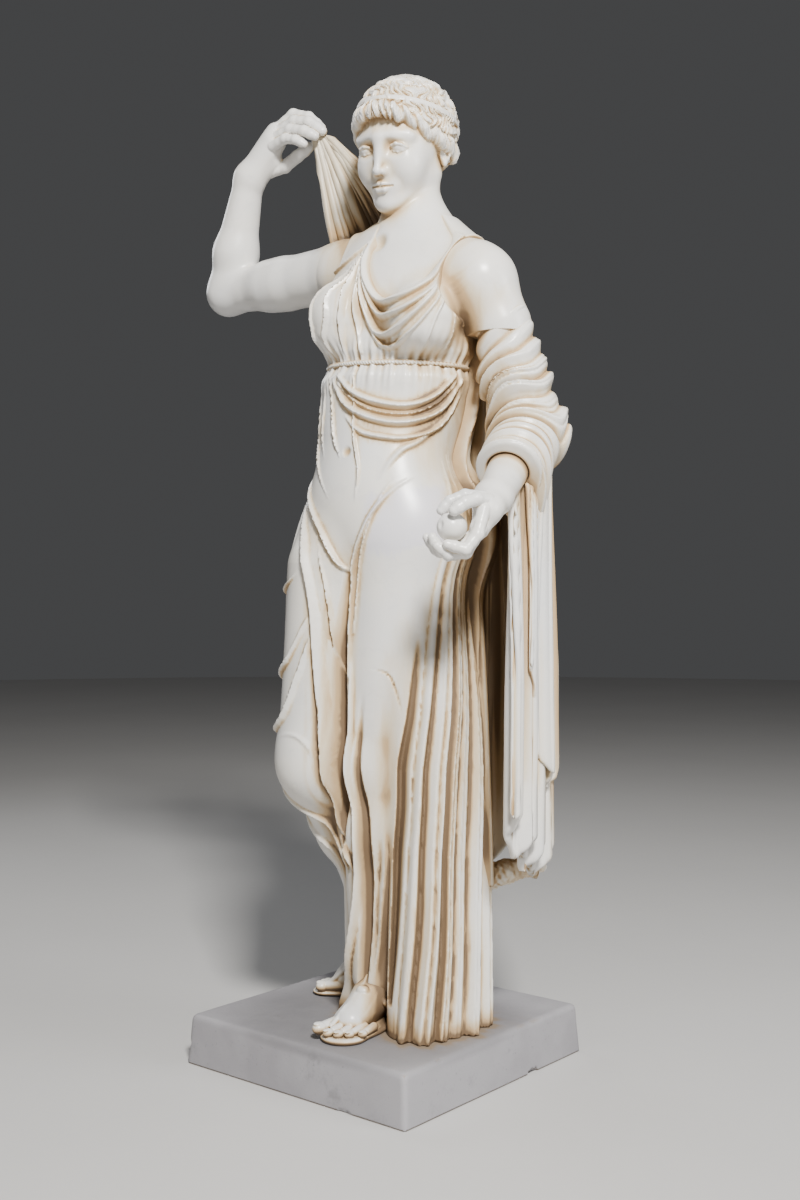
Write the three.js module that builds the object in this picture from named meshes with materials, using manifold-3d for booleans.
// A life-size classical statue of a draped woman, carved in white marble, on its square plinth.
// Units are millimetres. +Z is up, the figure faces -Y, and her left side is on +X.
// The origin is the centre of the plinth's underside.
//
// The figure is described by a distance field: ellipsoids, tapered limbs and elliptical columns that melt
// into each other, with the carved folds raised on it. Each part of the body is then wrapped by rings of rays,
// and manifold-3d joins the wrapped parts into the one solid that the block was carved to.
import * as THREE from 'three';
import { mergeVertices } from 'three/addons/utils/BufferGeometryUtils.js';
import Module from 'manifold-3d';

// ---------------------------------------------------------------- driving dimensions
const PLINTH = { topSide: 480, footSide: 491, height: 85, chamfer: 3 };
const RESTING_GAP = 0.3; // between the plinth's top and the figure's underside
const FLOOR = PLINTH.height + RESTING_GAP;

// Joints of the body, as [x, y, z].
const NECK_TOP = [56, 0, 1520];
const NECK_BASE = [66, 10, 1400];
const CHEST = [45, -12, 1262];
const WAIST = [30, -22, 1118];
const PELVIS = [25, -30, 935];
const SHOULDER_R = [-98, 0, 1386];
const ELBOW_R = [-380, -18, 1388];
const WRIST_R = [-310, -32, 1592];
const SHOULDER_L = [216, 8, 1334];
const ELBOW_L = [258, 60, 1078];
const WRIST_L = [324, -126, 958];
const HIP_R = [-36, -38, 885];
const KNEE_R = [-64, -106, 522];
const ANKLE_R = [-44, 84, 215];
const HIP_L = [80, -38, 888];
const KNEE_L = [40, -64, 520];
const ANKLE_L = [33, -62, 165];
const HEAD = { centre: [55, -20, 1588], yaw: 9, nod: 12, tilt: 4 };
const FRUIT = { centre: [303, -210, 918], radius: 25 };

// The cloth: its thickness, the cord under the breasts, and the mantle over the back.
const CLOTH = 6;
const GIRDLE = { height: 1196, slope: -0.05, half: 8, pull: 6, puff: 7 };
const MANTLE = { thickness: 14, foldDepth: 11, foldEvery: 21, hem: 330, from: 112, to: 252 };
const SKIRT = { pleats: 16, pleatDepth: 17, lastPleat: 262 };

// How finely each part is wrapped: rays round it, and rings or domes along it.
const FINENESS = {
  body: 48, bodyBack: 14, head: 34, neck: 14, arm: 12, sleeve: 14, hand: 10, finger: 6, foot: 12, fold: 8,
};

// ---------------------------------------------------------------- small maths
const DEGREE = Math.PI / 180;
const clamp = (x, low, high) => Math.min(Math.max(x, low), high);
const mix = (a, b, t) => a + (b - a) * t;
const between = (a, b, t) => a.map((value, i) => mix(value, b[i], t));
const shifted = (a, dx, dy, dz) => [a[0] + dx, a[1] + dy, a[2] + dz];
const mirrored = ([x, y, z]) => [-x, y, z];
const fade = (x, from, to) => THREE.MathUtils.smoothstep(x, from, to);
const steps = (from, to, count) => Array.from({ length: count + 1 }, (_, i) => between(from, to, i / count));
const numbers = (from, to, count) => Array.from({ length: count + 1 }, (_, i) => mix(from, to, i / count));

// Rows of numbers whose first column is the key, read at any key with straight lines between rows.
function readRows(rows, key) {
  if (key <= rows[0][0]) return rows[0];
  for (let i = 1; i < rows.length; i++) {
    const [a, b] = [rows[i - 1], rows[i]];
    if (key <= b[0]) return between(a, b, (key - a[0]) / (b[0] - a[0]));
  }
  return rows[rows.length - 1];
}

// A smooth (Catmull-Rom) curve through rows of numbers or points, cut into short straight steps.
function smoothed(rows, cuts = 8) {
  const made = [];
  for (let i = 0; i < rows.length - 1; i++) {
    const [a, b, c, d] = [i - 1, i, i + 1, i + 2].map((k) => rows[clamp(k, 0, rows.length - 1)]);
    for (let s = 0; s < cuts; s++) {
      const t = s / cuts;
      made.push(b.map((_, k) => {
        const bend = 2 * a[k] - 5 * b[k] + 4 * c[k] - d[k] + (3 * b[k] - a[k] - 3 * c[k] + d[k]) * t;
        return b[k] + 0.5 * t * (c[k] - a[k] + t * bend);
      }));
    }
  }
  made.push(rows[rows.length - 1]);
  return made;
}

// ---------------------------------------------------------------- distance fields
function ellipsoid(centre, radii, yaw = 0) {
  const [s, c] = [Math.sin(yaw * DEGREE), Math.cos(yaw * DEGREE)];
  return (p) => {
    const [dx, dy, dz] = [p[0] - centre[0], p[1] - centre[1], p[2] - centre[2]];
    const q = [(dx * c + dy * s) / radii[0], (dy * c - dx * s) / radii[1], dz / radii[2]];
    const size = Math.hypot(...q);
    const slope = Math.hypot(q[0] / radii[0], q[1] / radii[1], q[2] / radii[2]);
    return slope < 1e-9 ? -Math.min(...radii) : (size * (size - 1)) / slope;
  };
}

// A limb from a to b whose radius runs from ra to rb.
function limb(a, b, ra, rb) {
  const axis = b.map((value, i) => value - a[i]);
  const square = axis.reduce((sum, value) => sum + value * value, 0);
  return (p) => {
    const along = axis.reduce((sum, value, i) => sum + value * (p[i] - a[i]), 0) / square;
    const t = clamp(along, 0, 1);
    return Math.hypot(...a.map((value, i) => p[i] - value - axis[i] * t)) - mix(ra, rb, t);
  };
}

// An upright column of ellipses. Each row is [z, centre x, centre y, radius x, radius y], from the foot up.
function column(rows) {
  const table = smoothed(rows);
  const [low, high] = [rows[0][0], rows[rows.length - 1][0]];
  return (p) => {
    const [, cx, cy, rx, ry] = readRows(table, p[2]);
    const reach = Math.hypot(p[0] - cx, p[1] - cy);
    const share = Math.hypot((p[0] - cx) / rx, (p[1] - cy) / ry);
    const side = share < 1e-6 ? -Math.min(rx, ry) : reach * (1 - 1 / share);
    return Math.max(side, p[2] - high, low - p[2]);
  };
}

function melt(a, b, k) {
  const h = Math.max(k - Math.abs(a - b), 0) / k;
  return Math.min(a, b) - (h * h * k) / 4;
}
const hollow = (a, b, k) => -melt(-a, b, k);

// Several fields joined in order. Each entry is [field, how widely it melts into those before it].
const join = (entries) => (p) => entries.reduce((d, [field, k]) => melt(d, field(p), k), 1e3);

// A bent limb through points, with a radius at each.
function chain(points, radii, k = 8) {
  return join(points.slice(1).map((point, i) => [limb(points[i], point, radii[i], radii[i + 1]), k]));
}

// The same shape on both sides of the middle plane.
const bothSides = (make) => [make((p) => p), make(mirrored)];

// ---------------------------------------------------------------- the body under the cloth
const trunk = join([
  [ellipsoid(CHEST, [126, 92, 160], 8), 1],
  [ellipsoid(shifted(NECK_BASE, -4, -14, -66), [134, 76, 74], 8), 50],
  [ellipsoid(WAIST, [120, 92, 124], 12), 60],
  [ellipsoid([28, -64, 1012], [94, 66, 104]), 50],
  [ellipsoid(PELVIS, [150, 104, 112]), 60],
  [ellipsoid([-34, 34, 905], [80, 70, 88]), 30],
  [ellipsoid([84, 38, 915], [80, 70, 88]), 30],
  [limb(shifted(NECK_BASE, 0, 10, 14), SHOULDER_R, 50, 42), 60],
  [limb(shifted(NECK_BASE, 0, 10, 8), shifted(SHOULDER_L, 0, 0, 8), 50, 44), 60],
  [ellipsoid(SHOULDER_R, [54, 54, 52]), 40],
  [ellipsoid(SHOULDER_L, [56, 56, 64]), 40],
  [ellipsoid([-24, -84, 1284], [54, 52, 55]), 22],
  [ellipsoid([138, -72, 1270], [54, 52, 55]), 22],
]);
const neck = limb(NECK_BASE, NECK_TOP, 56, 46);

const legL = join([
  [limb(HIP_L, KNEE_L, 90, 58), 1],
  [limb(KNEE_L, between(KNEE_L, ANKLE_L, 0.3), 55, 54), 30],
  [limb(between(KNEE_L, ANKLE_L, 0.3), ANKLE_L, 54, 36), 30],
  [ellipsoid(shifted(KNEE_L, -2, -34, 6), [30, 26, 36]), 24],
]);
const legR = join([
  [limb(HIP_R, KNEE_R, 90, 60), 1],
  [limb(shifted(KNEE_R, 18, 46, 328), shifted(KNEE_R, 0, 4, 38), 91, 68), 20],
  [limb(shifted(KNEE_R, 0, 10, -8), between(KNEE_R, ANKLE_R, 0.4), 56, 50), 24],
  [limb(between(KNEE_R, ANKLE_R, 0.4), ANKLE_R, 50, 34), 24],
]);

// Cloth that hangs clear of the legs: at her left side, behind her, and between the knees.
const sideFall = column([
  [FLOOR, 138, -26, 68, 96], [400, 130, -24, 58, 88], [700, 114, -22, 54, 82], [940, 96, -22, 46, 70],
]);
const backFall = column([
  [FLOOR, 30, 34, 112, 88], [400, 28, 24, 116, 80], [700, 24, 14, 122, 78], [960, 24, 0, 120, 82],
]);
const middleFall = column([
  [FLOOR, -24, -34, 22, 26], [300, -16, -44, 24, 26], [600, 0, -74, 24, 28], [850, 14, -96, 22, 26],
]);

const underCloth = join([
  [trunk, 1], [legL, 46], [legR, 34], [backFall, 30], [sideFall, 16], [middleFall, 18],
]);

// ---------------------------------------------------------------- folds
// The body's middle line, which the folds' angles are measured round: 0 is the front and 90 her left.
const MIDDLE = [[FLOOR, 60, -6], [520, 34, -26], [930, 25, -30], [1260, 45, -12], [1400, 62, 0]];

function around(p) {
  const [, x, y] = readRows(MIDDLE, p[2]);
  return {
    angle: (Math.atan2(p[0] - x, y - p[1]) / DEGREE + 360 + 110) % 360 - 110,
    reach: Math.hypot(p[0] - x, p[1] - y),
    z: p[2],
  };
}

const ridge = (t) => (Math.abs(t) < 1 ? (1 - t * t) ** 2 : 0);

// A fold that hangs: each row is [z, angle, height, half width], from the foot up.
function hangingFold(rows) {
  const table = smoothed(rows, 5);
  return ({ angle, reach, z }) => {
    if (z < rows[0][0] || z > rows[rows.length - 1][0]) return 0;
    const [, middle, height, half] = readRows(table, z);
    return height * ridge(((angle - middle) * DEGREE * reach) / half);
  };
}

// A fold that swings across the body: each row is [angle, z, height, half width].
function swagFold(rows) {
  const table = smoothed(rows, 5);
  return ({ angle, z }) => {
    if (angle < rows[0][0] || angle > rows[rows.length - 1][0]) return 0;
    const [, middle, height, half] = readRows(table, angle);
    return height * ridge((z - middle) / half);
  };
}

// Round-topped pleats with sharp valleys. share counts the pleats from the first edge, and they vary in width.
function pleatAt(share) {
  const uneven = share + 0.2 * Math.sin(share * 2.4) + 0.14 * Math.sin(share * 1.1);
  const across = 2 * (uneven - Math.floor(uneven)) - 1;
  return 1 - across * across;
}

// The skirt's pleats fan out from her left hip, go round the back and end behind her right leg.
const FIRST_PLEAT = [[FLOOR, 18], [300, 28], [520, 42], [700, 58], [900, 78], [1000, 84]];
function skirtPleats({ angle, z }) {
  const [first, last] = [readRows(FIRST_PLEAT, z)[1], SKIRT.lastPleat];
  if (angle < first || angle > last) return 0;
  const depth = mix(SKIRT.pleatDepth, 3, fade(z, 480, 920)) * (1 - fade(z, 920, 1160));
  const ends = fade(angle, first, first + 7) * (1 - fade(angle, last - 8, last));
  return depth * ends * pleatAt(((angle - first) / (last - first)) * SKIRT.pleats);
}

// The mantle covers her back, with folds that slant down from the raised hand towards her left arm.
function mantleLayer({ angle, z }) {
  const { from, to } = MANTLE;
  const inside = fade(angle, from - 6, from + 6) * (1 - fade(angle, to - 6, to + 6));
  const tall = fade(z, MANTLE.hem, MANTLE.hem + 12) * (1 - fade(z, 1385, 1440));
  const slant = (angle - 0.05 * (z - MANTLE.hem) * fade(z, 500, 1200)) / MANTLE.foldEvery;
  return inside * tall * (MANTLE.thickness + MANTLE.foldDepth * pleatAt(slant));
}

const folds = [
  skirtPleats,
  // Between the knees, down the standing leg's outer side, and down the free leg.
  hangingFold([
    [FLOOR, -66, 10, 16], [300, -62, 16, 17], [520, -30, 16, 17],
    [700, -18, 13, 16], [860, -10, 8, 14], [940, -8, 0, 10],
  ]),
  hangingFold([[140, -4, 0, 14], [420, 22, 11, 14], [640, 36, 13, 15], [860, 52, 10, 15], [1000, 62, 0, 12]]),
  hangingFold([
    [300, -92, 0, 16], [460, -84, 15, 18], [640, -66, 14, 16],
    [820, -66, 12, 16], [980, -72, 8, 14], [1110, -76, 0, 12],
  ]),
  hangingFold([
    [600, -46, 0, 12], [720, -42, 10, 13], [860, -46, 10, 14], [980, -56, 6, 13], [1070, -62, 0, 12],
  ]),
  // The neckline, which hangs in two loops from shoulder to shoulder.
  swagFold([
    [-50, 1412, 0, 12], [-28, 1368, 7, 13], [4, 1336, 10, 13],
    [34, 1330, 9, 13], [58, 1352, 7, 12], [76, 1384, 0, 12],
  ]),
  swagFold([
    [-58, 1376, 0, 12], [-30, 1332, 6, 12], [8, 1302, 8, 12],
    [38, 1300, 8, 12], [62, 1326, 5, 12], [80, 1360, 0, 12],
  ]),
];

// The cord draws the dress in, and the cloth puffs out above it.
function girdle([x, , z]) {
  const up = z - GIRDLE.height - GIRDLE.slope * (x - CHEST[0]);
  const cord = 5 * ridge(up / GIRDLE.half) - GIRDLE.pull * ridge(up / (3 * GIRDLE.half));
  return cord + GIRDLE.puff * ridge((up - 36) / 28);
}

function body(p) {
  const place = around(p);
  return underCloth(p) - CLOTH - Math.max(...folds.map((fold) => fold(place))) - mantleLayer(place) - girdle(p);
}

// ---------------------------------------------------------------- head
// In the head's own frame: x to her left, -y forward, z up, and the eyes at z = 0.
const FACE = { brow: 15, eye: -2, noseBase: -46, mouth: -68, chin: -98 };

const skull = join([
  [ellipsoid([0, 12, 22], [71, 90, 82]), 1],
  [ellipsoid([0, -30, -30], [58, 54, 78]), 30],
  ...bothSides((side) => [limb(side([44, 6, -56]), side([14, -62, FACE.chin + 6]), 18, 17), 24]),
  [ellipsoid([0, -70, FACE.chin], [20, 18, 17]), 16],
  ...bothSides((side) => [ellipsoid(side([36, -56, -34]), [24, 24, 28]), 20]),
  ...bothSides((side) => [limb(side([6, -80, FACE.brow]), side([46, -62, FACE.brow - 2]), 9, 9), 12]),
]);
const sockets = join(bothSides((side) => [ellipsoid(side([31, -88, FACE.eye - 1]), [17, 14, 11]), 1]));
const eyes = join(bothSides((side) => [ellipsoid(side([31, -66, FACE.eye]), [15, 14, 13]), 1]));
const nose = join([
  [limb([0, -82, FACE.brow - 6], [0, -101, FACE.noseBase + 9], 7, 8), 1],
  ...bothSides((side) => [ellipsoid(side([9, -92, FACE.noseBase + 5]), [8, 9, 7]), 6]),
]);
const mouth = join([
  [ellipsoid([0, -76, FACE.mouth], [24, 14, 16]), 1],
  ...bothSides((side) => [limb([0, -89, FACE.mouth + 5], side([18, -82, FACE.mouth + 1]), 4, 2), 3]),
  [limb([-10, -87, FACE.mouth - 6], [10, -87, FACE.mouth - 6], 5, 5), 3],
]);
const face = join([[(p) => hollow(skull(p), sockets(p), 10), 1], [eyes, 3], [nose, 9], [mouth, 8]]);

// Short waved hair: a cap, with a rolled edge that runs from the brow over the ears to the nape.
const HAIR = { thickness: 9, roll: 13, locks: 13, lockHeight: 3 };
const HAIR_EDGE = smoothed([[0, -80, 60], [38, -68, 50], [62, -36, 22], [72, -4, -8], [70, 26, -26]], 3);
const HAIRLINE = [[-100, 60], [-60, 44], [-30, 8], [20, -30], [70, -64], [110, -72]];
const hairMass = ellipsoid([0, 14, 24], [71, 90, 80].map((radius) => radius + HAIR.thickness));
const hairCap = (p) => Math.max(hairMass(p), 0.8 * (readRows(HAIRLINE, p[1])[1] - p[2]));
const hairRoll = join(HAIR_EDGE.slice(1).flatMap((point, i) => (
  bothSides((side) => [limb(side(HAIR_EDGE[i]), side(point), HAIR.roll, HAIR.roll), 6])
)));

// Wavy locks that run down from the crown.
function locks([x, y, z]) {
  const [back, up] = [y - 20, z - 24];
  const fromCrown = Math.acos(clamp(up / Math.max(Math.hypot(x, back, up), 1), -1, 1));
  const wave = Math.sin(HAIR.locks * Math.atan2(x, -back) + 2.2 * Math.sin(4 * fromCrown));
  return HAIR.lockHeight * wave * Math.sin(Math.min(1.6 * fromCrown, Math.PI / 2));
}
const hair = (p) => melt(hairCap(p), hairRoll(p), 10) - locks(p);

function turned(local, { centre, yaw, nod, tilt }) {
  const angles = new THREE.Euler(nod * DEGREE, tilt * DEGREE, yaw * DEGREE, 'ZYX');
  const back = new THREE.Matrix4().makeRotationFromEuler(angles).setPosition(...centre).invert();
  const q = new THREE.Vector3();
  return (p) => local(q.set(...p).applyMatrix4(back).toArray());
}
const head = turned((p) => melt(face(p), hair(p), 4), HEAD);

// ---------------------------------------------------------------- arms
const armR = join([
  [limb(SHOULDER_R, between(SHOULDER_R, ELBOW_R, 0.6), 54, 45), 1],
  [limb(between(SHOULDER_R, ELBOW_R, 0.5), ELBOW_R, 45, 38), 20],
  [limb(ELBOW_R, between(ELBOW_R, WRIST_R, 0.35), 38, 40), 24],
  [limb(between(ELBOW_R, WRIST_R, 0.35), WRIST_R, 40, 27), 20],
]);
const forearmL = limb(ELBOW_L, WRIST_L, 44, 27);

// The mantle is wound round her left arm, from below the shoulder to the middle of the forearm.
const SLEEVE = {
  top: shifted(SHOULDER_L, 14, 14, -70),
  end: between(ELBOW_L, WRIST_L, 0.62),
  foldEvery: 36,
  foldDepth: 9,
};
const sleeveShape = join([
  [limb(SLEEVE.top, between(SHOULDER_L, ELBOW_L, 0.7), 60, 62), 1],
  [limb(between(SHOULDER_L, ELBOW_L, 0.7), shifted(ELBOW_L, 0, 6, 0), 62, 62), 20],
  [limb(ELBOW_L, SLEEVE.end, 62, 50), 30],
]);
const windings = ([x, y, z]) => pleatAt((0.5 * x - 0.35 * y + 0.8 * z) / SLEEVE.foldEvery);
const sleeve = (p) => sleeveShape(p) - SLEEVE.foldDepth * windings(p);

// ---------------------------------------------------------------- hands
// One finger, from its knuckle by its middle joint to its tip.
function finger(knuckle, middle, tip, radius) {
  return { points: [knuckle, middle, tip], radii: [radius + 1, radius, radius - 2] };
}

// Fingers side by side: each joint runs from the first finger's to the last finger's.
function fingers(first, last, count, radius) {
  return Array.from({ length: count }, (_, i) => {
    const t = i / (count - 1);
    return finger(...first.map((point, j) => between(point, last[j], t)), radius - t);
  });
}

const HAND_R = {
  palm: { from: WRIST_R, to: [-252, -28, 1664], radii: [27, 30] },
  digits: [
    ...fingers(
      [[-246, -6, 1688], [-196, 8, 1694], [-152, 12, 1664]],
      [[-262, -56, 1644], [-222, -50, 1650], [-186, -26, 1634]],
      4, 11),
    finger([-290, -10, 1612], [-240, 16, 1618], [-190, 22, 1632], 12),
  ],
};
const HAND_L = {
  palm: { from: WRIST_L, to: [332, -176, 926], radii: [27, 28] },
  digits: [
    ...fingers(
      [[330, -208, 938], [306, -240, 930], [276, -240, 912]],
      [[330, -186, 892], [304, -206, 880], [272, -214, 890]],
      4, 10),
    finger([330, -160, 950], [312, -184, 960], [284, -204, 950], 11),
  ],
};

// ---------------------------------------------------------------- feet
const footL = join([
  [limb([33, -40, 150], [34, -10, 118], 38, 34), 1],
  [limb([34, -66, 136], [54, -150, 108], 36, 24), 26],
  [limb([36, -150, 104], [32, -200, 98], 20, 13), 14],
  [limb([72, -128, 103], [82, -160, 97], 18, 12), 14],
]);
const footR = join([
  [limb(ANKLE_R, [-24, 116, 176], 36, 29), 1],
  [limb(ANKLE_R, [-110, 22, 116], 34, 27), 24],
  [limb([-108, 14, 106], [-146, -14, 98], 20, 13), 14],
  [limb([-128, 42, 102], [-156, 18, 97], 17, 12), 14],
]);

// ---------------------------------------------------------------- wrapping a field in rings of rays
// The distance along a ray, from its start, at which the field's outermost surface is crossed.
function rayHit(field, from, way, reach) {
  const at = (distance) => field(from.map((value, i) => value + way[i] * distance));
  let outside = reach;
  for (let near = reach; near > 0;) {
    const d = at(near);
    if (d < 0) {
      for (let i = 0; i < 12; i++) {
        const half = (near + outside) / 2;
        if (at(half) < 0) near = half;
        else outside = half;
      }
      return Math.max(near, 1);
    }
    outside = near;
    near -= clamp(d * 0.7, 1.5, 40);
  }
  return 1;
}

// A ring's rays leave its centre square to along, raised towards along by lift degrees.
function ringsAlong(path) {
  const last = path.length - 1;
  return path.map((centre, i) => {
    const [a, b] = [path[Math.max(i - 1, 0)], path[Math.min(i + 1, last)]];
    return { centre, along: new THREE.Vector3(...b.map((value, k) => value - a[k])).normalize(), lift: 0 };
  });
}
const dome = (centre, lifts) => lifts.map((lift) => ({ centre, along: new THREE.Vector3(0, 0, 1), lift }));

// A closed surface: one loop of points for each ring, with a tip at each end or a flat start.
// turns are the rays' angles from up, or their number where they stand evenly.
function wrap(field, rings, turns, { reach = 420, flatStart = false, up = [0, -1, 0] } = {}) {
  const angles = Array.isArray(turns) ? turns : numbers(0, 360, turns).slice(0, -1);
  const sides = angles.length;
  const reference = new THREE.Vector3(...up);
  const vertices = [];
  const cast = (centre, way, distance) => {
    vertices.push(new THREE.Vector3(...centre).addScaledVector(way, distance));
    return vertices.length - 1;
  };
  const meet = (centre, way) => cast(centre, way, rayHit(field, centre, way.toArray(), reach));
  for (const { centre, along, lift } of rings) {
    const first = reference.clone().addScaledVector(along, -reference.dot(along)).normalize();
    const second = new THREE.Vector3().crossVectors(along, first);
    for (const turn of angles) {
      const [c, s] = [Math.cos(turn * DEGREE), Math.sin(turn * DEGREE)];
      const way = first.clone().multiplyScalar(c).addScaledVector(second, s);
      meet(centre, way.multiplyScalar(Math.cos(lift * DEGREE)).addScaledVector(along, Math.sin(lift * DEGREE)));
    }
  }
  const last = rings.length - 1;
  const back = rings[0].along.clone().negate();
  const start = flatStart ? cast(rings[0].centre, back, 0) : meet(rings[0].centre, back);
  const end = meet(rings[last].centre, rings[last].along);
  const triangles = [];
  for (let s = 0; s < sides; s++) {
    const next = (s + 1) % sides;
    triangles.push(start, next, s, end, last * sides + s, last * sides + next);
    for (let i = 0; i < last; i++) {
      const [a, b, c, d] = [i * sides + s, i * sides + next, (i + 1) * sides + next, (i + 1) * sides + s];
      triangles.push(a, b, c, a, c, d);
    }
  }
  return geometryFrom(vertices, triangles);
}

function geometryFrom(vertices, triangles) {
  const geometry = new THREE.BufferGeometry();
  geometry.setAttribute('position', new THREE.Float32BufferAttribute(vertices.flatMap((p) => p.toArray()), 3));
  geometry.setIndex(triangles);
  return geometry;
}

// A pleated sheet that hangs straight down from a line in plan, with a zigzag lower edge.
// Each row of line is [share along, x, y, top, hem].
function pleatedSheet({ line, pleats, swing, step, thickness, columns, rows }) {
  const table = smoothed(line, 6);
  const at = (share) => readRows(table, share);
  const vertices = [];
  const triangles = [];
  for (const face of [1, -1]) {
    for (let i = 0; i <= columns; i++) {
      const share = i / columns;
      const [, x, y, top, hem] = at(share);
      const [before, after] = [at(share - 0.01), at(share + 0.01)];
      const slope = new THREE.Vector2(after[1] - before[1], after[2] - before[2]).normalize();
      const wave = Math.sin(2 * Math.PI * share * pleats);
      for (let j = 0; j <= rows; j++) {
        const down = j / rows;
        const out = swing * wave * mix(0.35, 1, down) + (face * thickness) / 2;
        const z = mix(top, hem + step * wave, down);
        vertices.push(new THREE.Vector3(x + slope.y * out, y - slope.x * out, z));
      }
    }
  }
  const id = (face, i, j) => (face * (columns + 1) + i) * (rows + 1) + j;
  const quad = (a, b, c, d) => triangles.push(a, b, c, a, c, d);
  for (let i = 0; i < columns; i++) {
    for (let j = 0; j < rows; j++) {
      quad(id(0, i, j), id(0, i, j + 1), id(0, i + 1, j + 1), id(0, i + 1, j));
      quad(id(1, i, j), id(1, i + 1, j), id(1, i + 1, j + 1), id(1, i, j + 1));
    }
    quad(id(0, i, 0), id(0, i + 1, 0), id(1, i + 1, 0), id(1, i, 0));
    quad(id(0, i, rows), id(1, i, rows), id(1, i + 1, rows), id(0, i + 1, rows));
  }
  for (let j = 0; j < rows; j++) {
    quad(id(0, 0, j), id(1, 0, j), id(1, 0, j + 1), id(0, 0, j + 1));
    quad(id(0, columns, j), id(0, columns, j + 1), id(1, columns, j + 1), id(1, columns, j));
  }
  return geometryFrom(vertices, triangles);
}

// ---------------------------------------------------------------- solids
const wasm = await Module();
wasm.setup();

function solidOf(geometry) {
  const bare = geometry.index ? geometry.toNonIndexed() : geometry.clone();
  bare.deleteAttribute('normal');
  bare.deleteAttribute('uv');
  const merged = mergeVertices(bare, 1e-3);
  const solid = new wasm.Manifold(new wasm.Mesh({
    numProp: 3,
    vertProperties: merged.attributes.position.array,
    triVerts: new Uint32Array(merged.index.array),
  }));
  if (solid.volume() < 0) throw new Error('a piece of the figure is inside out');
  return solid;
}

function geometryOf(solid) {
  const mesh = solid.getMesh();
  const geometry = new THREE.BufferGeometry();
  geometry.setAttribute('position', new THREE.BufferAttribute(mesh.vertProperties, 3));
  geometry.setIndex(new THREE.BufferAttribute(mesh.triVerts, 1));
  return geometry;
}

// Rings lie close where the form turns quickly, and rays lie close where the pleats show most.
function bodySolid() {
  const levels = [...numbers(FLOOR, 425, 4), 480, 525, ...numbers(570, 1120, 8), 1152, 1180, 1198, 1228, 1264];
  const path = levels.map((z) => [...readRows(MIDDLE, z).slice(1), z]);
  const chest = path[path.length - 1];
  const rings = [...path.flatMap((centre) => dome(centre, [0])), ...dome(chest, numbers(8, 76, 8))];
  const turns = [...numbers(-84, 132, FINENESS.body), ...numbers(141, 267, FINENESS.bodyBack)];
  return wrap(body, rings, turns, { flatStart: true });
}

function headSolid() {
  const rings = dome(shifted(HEAD.centre, 0, 0, -4), numbers(-76, 78, 15));
  return wrap(head, rings, FINENESS.head, { reach: 150 });
}

function handSolids({ palm, digits }) {
  const back = ringsAlong(steps(palm.from, palm.to, 2));
  return [
    wrap(limb(palm.from, palm.to, ...palm.radii), back, FINENESS.hand, { reach: 60 }),
    ...digits.map(({ points, radii }) => (
      wrap(chain(points, radii, 3), ringsAlong(points), FINENESS.finger, { reach: 30 })
    )),
  ];
}

// A bridge of stone that was left between the skirt and the mantle's hem.
const STRUT = [[150, 60, 322], [236, 118, 348]];

// Folds of the mantle that the raised hand draws up, fanned out to the shoulder and the back of the neck.
const FAN = { grip: [-158, 6, 1650], outer: [-128, 34, 1396], inner: [40, 86, 1412], count: 7 };
function fanSolids() {
  const feet = steps(FAN.outer, FAN.inner, FAN.count - 1);
  const tips = steps(FAN.grip, shifted(FAN.grip, 14, 6, -6), FAN.count - 1);
  return tips.map((tip, i) => (
    wrap(limb(tip, feet[i], 8, 17), ringsAlong([tip, feet[i]]), FINENESS.fold, { reach: 40 })
  ));
}

function curtainGeometry() {
  return pleatedSheet({
    line: [
      [0, 312, -74, 990, 500], [0.2, 304, -20, 1020, 440], [0.42, 290, 50, 1080, 360],
      [0.62, 262, 104, 1170, 338], [0.8, 200, 122, 1290, 350], [1, 116, 96, 1320, 350],
    ],
    pleats: 6, swing: 11, step: 16, thickness: 22, columns: 32, rows: 4,
  });
}

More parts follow.
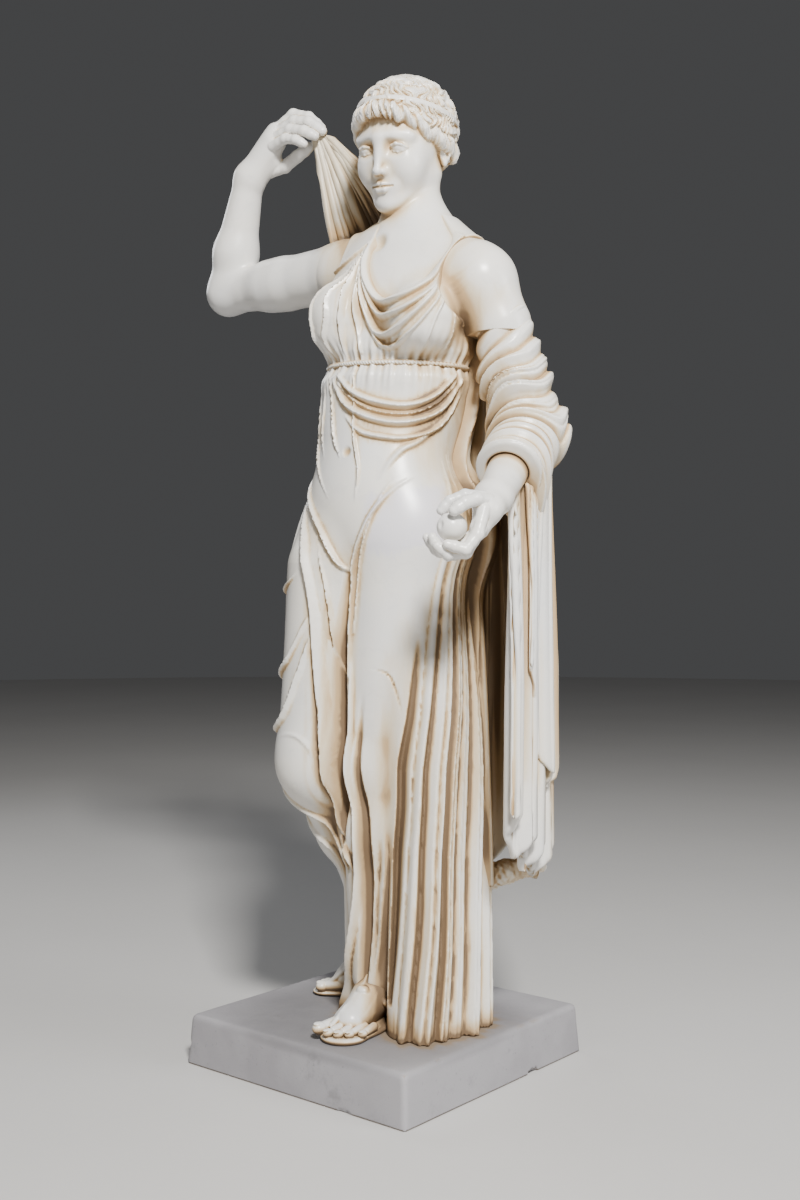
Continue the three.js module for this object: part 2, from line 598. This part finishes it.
function figureSolid() {
  const armPath = smoothed([
    shifted(SHOULDER_R, 24, 0, 0), between(SHOULDER_R, ELBOW_R, 0.75),
    shifted(ELBOW_R, 14, 0, 14), between(ELBOW_R, WRIST_R, 0.3), WRIST_R,
  ], 3);
  const sleevePath = smoothed([
    shifted(SHOULDER_L, 0, 6, -40), between(SHOULDER_L, ELBOW_L, 0.7),
    shifted(ELBOW_L, 6, -10, -2), between(ELBOW_L, WRIST_L, 0.3), SLEEVE.end,
  ], 4);
  const forearmPath = steps(between(ELBOW_L, WRIST_L, 0.4), WRIST_L, 2);
  const neckPath = steps(shifted(NECK_BASE, 0, 0, -40), NECK_TOP, 3);
  const footPathL = steps([34, 6, 116], [56, -178, 102], 7);
  const instepR = [shifted(ANKLE_R, 6, 12, 24), shifted(ANKLE_R, -2, 2, -14), [-80, 52, 150]];
  const footPathR = [...instepR, [-116, 20, 110], [-134, 4, 102], [-146, -4, 98]];
  const pieces = [
    bodySolid(),
    headSolid(),
    wrap(neck, ringsAlong(neckPath), FINENESS.neck, { reach: 100 }),
    wrap(armR, ringsAlong(armPath), FINENESS.arm, { reach: 90, up: [0, -1, 0.1] }),
    wrap(sleeve, ringsAlong(sleevePath), FINENESS.sleeve, { reach: 110, up: [1, 0, 0] }),
    wrap(forearmL, ringsAlong(forearmPath), FINENESS.arm, { reach: 70, up: [1, 0, 0] }),
    wrap(footL, ringsAlong(footPathL), FINENESS.foot, { reach: 80, up: [0, 0, 1] }),
    wrap(footR, ringsAlong(footPathR), FINENESS.foot, { reach: 80, up: [0, 0, 1] }),
    wrap(limb(...STRUT, 26, 16), ringsAlong(STRUT), FINENESS.fold, { reach: 50 }),
    ...fanSolids(),
    ...handSolids(HAND_R),
    ...handSolids(HAND_L),
    curtainGeometry(),
    new THREE.IcosahedronGeometry(FRUIT.radius, 1).translate(...FRUIT.centre),
  ].map(solidOf);
  const joined = pieces.reduce((all, piece) => all.add(piece));
  const aboveFloor = new THREE.BoxGeometry(1400, 1400, 2000).translate(0, 0, 1000 + FLOOR);
  return joined.intersect(solidOf(aboveFloor));
}

function plinthGeometry() {
  const corners = [[-1, -1], [1, -1], [1, 1], [-1, 1]];
  const outline = (side, z) => corners.map(([x, y]) => new THREE.Vector3((x * side) / 2, (y * side) / 2, z));
  const { topSide, footSide, height, chamfer } = PLINTH;
  const rings = [
    outline(footSide, 0),
    outline(topSide, height - chamfer),
    outline(topSide - 2 * chamfer, height),
  ];
  const triangles = [0, 2, 1, 0, 3, 2, 8, 9, 10, 8, 10, 11];
  for (let level = 0; level < 2; level++) {
    for (let s = 0; s < 4; s++) {
      const [a, b] = [level * 4 + s, level * 4 + ((s + 1) % 4)];
      triangles.push(a, b, b + 4, a, b + 4, a + 4);
    }
  }
  return geometryFrom(rings.flat(), triangles);
}

// ---------------------------------------------------------------- the statue
const whiteMarble = new THREE.MeshStandardMaterial({ color: 0xe8e2d4, roughness: 0.5, metalness: 0 });
const greyMarble = new THREE.MeshStandardMaterial({ color: 0xb9b8ba, roughness: 0.6, metalness: 0 });

function named(name, geometry, material) {
  const mesh = new THREE.Mesh(geometry, material);
  mesh.name = name;
  return mesh;
}

const statue = new THREE.Group();
statue.name = 'classical_statue';
statue.add(named('figure', geometryOf(figureSolid()), whiteMarble));
statue.add(named('plinth', plinthGeometry(), greyMarble));

export default statue;
